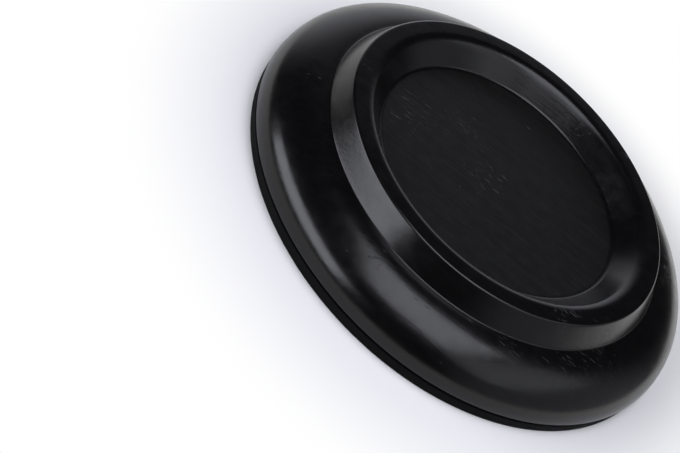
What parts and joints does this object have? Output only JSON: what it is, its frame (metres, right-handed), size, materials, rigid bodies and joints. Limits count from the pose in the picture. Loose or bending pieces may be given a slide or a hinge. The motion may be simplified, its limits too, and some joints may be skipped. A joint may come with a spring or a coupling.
{
  "type": "castor cup",
  "caption": "Round turned wooden castor cup in black lacquer, with a wide rounded flange, a raised ring around a shallow castor recess, and a foam pad under its base.",
  "frame": {"origin": "centre of the pad's underside, on the floor", "axes": "+Z is the turning axis, out of the recess; X and Y are free because the cup is round"},
  "size_m": [0.14, 0.14, 0.022],
  "materials": {
    "lacquered_wood": "satin black lacquer over open-pored wood",
    "foam_pad": "matt, fine cut foam"
  },
  "bodies": {
    "root": {"wooden_cup": "lacquered_wood", "base_pad": "foam_pad"}
  },
  "joints": []
}
